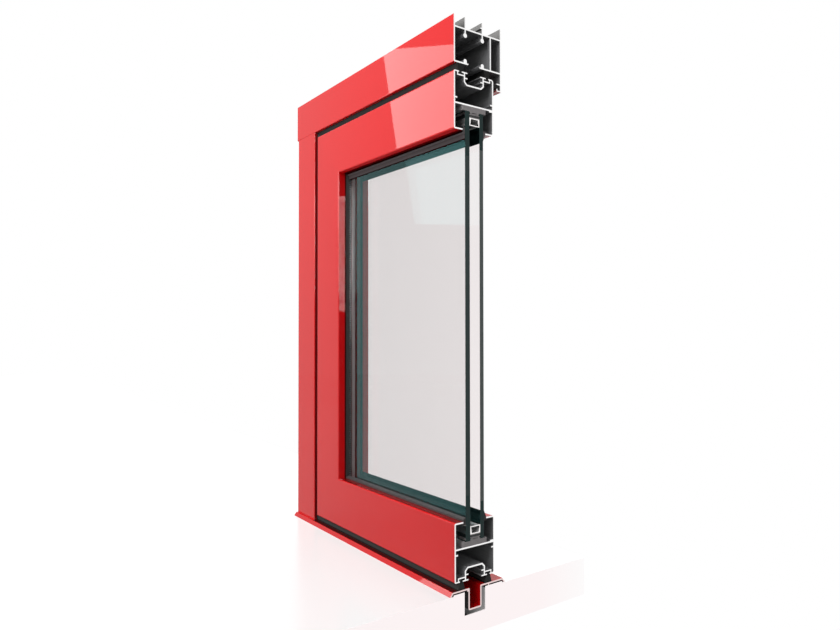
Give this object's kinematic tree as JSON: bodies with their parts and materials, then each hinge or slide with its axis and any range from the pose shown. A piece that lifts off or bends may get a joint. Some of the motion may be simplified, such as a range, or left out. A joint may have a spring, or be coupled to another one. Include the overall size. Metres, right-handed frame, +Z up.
{
  "type": "folding window section",
  "caption": "Sawn-off corner of an aluminium folding window: head track, jamb, floor threshold and a double-glazed leaf with its seals.",
  "frame": {"origin": "on the flat underside of the threshold's guide channel, at the middle of its length and in the track's centre plane", "axes": "+Z up, +X along the window towards the sawn face, +Y from the outer face to the inner one"},
  "size_m": [0.354, 0.0727, 0.5917],
  "materials": {
    "red_paint": "gloss",
    "bare_aluminium": "satin",
    "clear_glass": "gloss",
    "black_rubber": "matte",
    "grey_plastic": "matte",
    "edge_sealant": "matte"
  },
  "bodies": {
    "root": {"back_seal_bottom": "black_rubber", "back_seal_left": "black_rubber", "back_seal_top": "black_rubber", "bottom_packer": "grey_plastic", "edge_seal_bottom": "edge_sealant", "edge_seal_left": "edge_sealant", "edge_seal_top": "edge_sealant", "front_seal_bottom": "black_rubber", "front_seal_left": "black_rubber", "front_seal_top": "black_rubber", "glazing_bead_bottom": "red_paint", "glazing_bead_left": "red_paint", "glazing_bead_top": "red_paint", "head_stop_gasket": "black_rubber", "head_track": "red_paint", "inner_gasket_bottom": "black_rubber", "inner_gasket_left": "black_rubber", "inner_gasket_top": "black_rubber", "inner_pane": "clear_glass", "jamb_stop_gasket": "black_rubber", "leaf_bottom_rail": "red_paint", "leaf_stile": "red_paint", "leaf_top_rail": "red_paint", "left_jamb": "red_paint", "outer_gasket_bottom": "black_rubber", "outer_gasket_left": "black_rubber", "outer_gasket_top": "black_rubber", "outer_pane": "clear_glass", "spacer_bar_bottom": "bare_aluminium", "spacer_bar_left": "bare_aluminium", "spacer_bar_top": "bare_aluminium", "threshold": "red_paint", "top_packer": "grey_plastic"}
  },
  "joints": []
}
